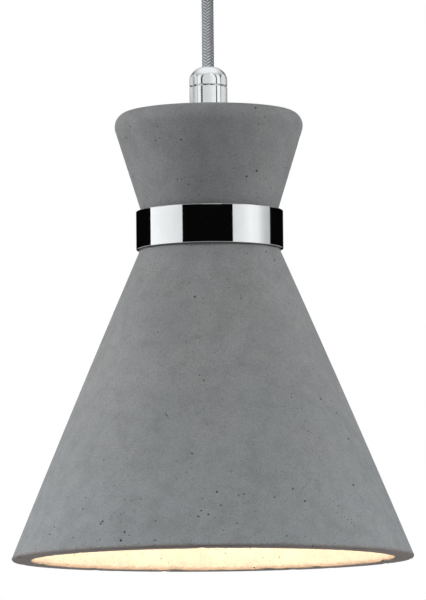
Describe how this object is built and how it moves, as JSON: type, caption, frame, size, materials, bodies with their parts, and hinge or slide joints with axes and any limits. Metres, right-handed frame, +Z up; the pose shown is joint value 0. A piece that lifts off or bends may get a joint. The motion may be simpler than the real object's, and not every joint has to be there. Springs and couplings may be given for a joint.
{
  "type": "pendant ceiling light",
  "caption": "Pendant light: hourglass concrete shade with a chrome waist band, hung by a textile cord between cord grips from a round ceiling cup, with screw lampholder and bulb.",
  "frame": {"origin": "middle of the ceiling bracket's upper face, where it meets the ceiling", "axes": "+Z up, against the ceiling; the light hangs along -Z; +X along the bracket from slot to slot; the band's seam is at +Y"},
  "size_m": [0.2, 0.2, 0.334],
  "materials": {
    "concrete": "cast concrete, matt, mottled, with fine pores",
    "chrome": "polished chrome plate",
    "zinc_steel": "bright zinc plate",
    "terminal_steel": "nickel plated",
    "brass": "plain turned brass",
    "cord_braid": "tight grey textile braid",
    "core_brown": "smooth insulation",
    "core_blue": "smooth insulation",
    "black_rubber": "matt moulded rubber",
    "grip_plastic": "satin nylon",
    "tape_foam": "foam tape",
    "terminal_plastic": "translucent nylon",
    "holder_plastic": "moulded thermoset",
    "holder_ceramic": "glazed steatite",
    "bulb_shell": "pressed and rolled thread",
    "bulb_black_glass": "black glass",
    "bulb_glass": "clear blown glass",
    "bulb_stem_glass": "clear pressed glass",
    "filament": "glowing phosphor strips"
  },
  "bodies": {
    "ceiling_fitting": {"ceiling_bracket": "zinc_steel", "canopy": "chrome", "canopy_screws": "chrome", "terminal_block": "terminal_plastic", "terminal_sleeves": "brass", "terminal_screws": "terminal_steel", "ceiling_washer": "black_rubber", "ceiling_nipple": "zinc_steel", "ceiling_lock_nut": "zinc_steel", "ceiling_grip_body": "chrome", "ceiling_grip_insert": "grip_plastic", "ceiling_grip_nut": "chrome", "cord_head": "cord_braid", "ceiling_core_brown": "core_brown", "ceiling_core_blue": "core_blue"},
    "twisting_cord": {"cord_stub": "cord_braid"},
    "swinging_cord": {"cord": "cord_braid"},
    "hanging_shade": {"grip_nut": "chrome", "grip_body": "chrome", "grip_insert": "grip_plastic", "top_washer": "black_rubber", "threaded_tube": "zinc_steel", "load_washer": "zinc_steel", "lock_nut": "zinc_steel", "shade": "concrete", "waist_band": "chrome", "band_tape": "tape_foam", "cord_tail": "cord_braid", "holder_cap": "holder_plastic", "holder_sleeve": "holder_plastic", "holder_core": "holder_ceramic", "centre_contact": "brass", "side_contact": "brass", "holder_screws": "terminal_steel", "holder_wire_brown": "core_brown", "holder_wire_blue": "core_blue"},
    "bulb_tip": {"bulb_pip": "bulb_shell", "bulb_insulator": "bulb_black_glass"},
    "bulb": {"bulb_cap": "bulb_shell", "bulb_envelope": "bulb_glass", "bulb_stem": "bulb_stem_glass", "bulb_filaments": "filament"}
  },
  "joints": [
    {"name": "cord_twist", "type": "hinge", "parent": "ceiling_fitting", "child": "twisting_cord", "pos_m": [0, 0, -0.046], "axis": [0, 0, 1], "range_deg": [-180, 180]},
    {"name": "cord_swing", "type": "hinge", "parent": "twisting_cord", "child": "swinging_cord", "pos_m": [0, 0, -0.046], "axis": [0, 1, 0], "range_deg": [-25, 25]},
    {"name": "shade_tilt", "type": "hinge", "parent": "swinging_cord", "child": "hanging_shade", "pos_m": [0, 0, -0.089], "axis": [1, 0, 0], "range_deg": [-10, 10]},
    {"name": "bulb_drop", "type": "slide", "parent": "hanging_shade", "child": "bulb_tip", "axis": [0, 0, -1], "range_m": [0, 0.0255]},
    {"name": "bulb_turn", "type": "hinge", "parent": "bulb_tip", "child": "bulb", "pos_m": [0, 0, -0.166], "axis": [0, 0, -1], "range_deg": [0, 2520]}
  ],
  "couplings": [
    {"joint": "bulb_drop", "follows": "bulb_turn", "m_per_rad": 0.00057757}
  ]
}
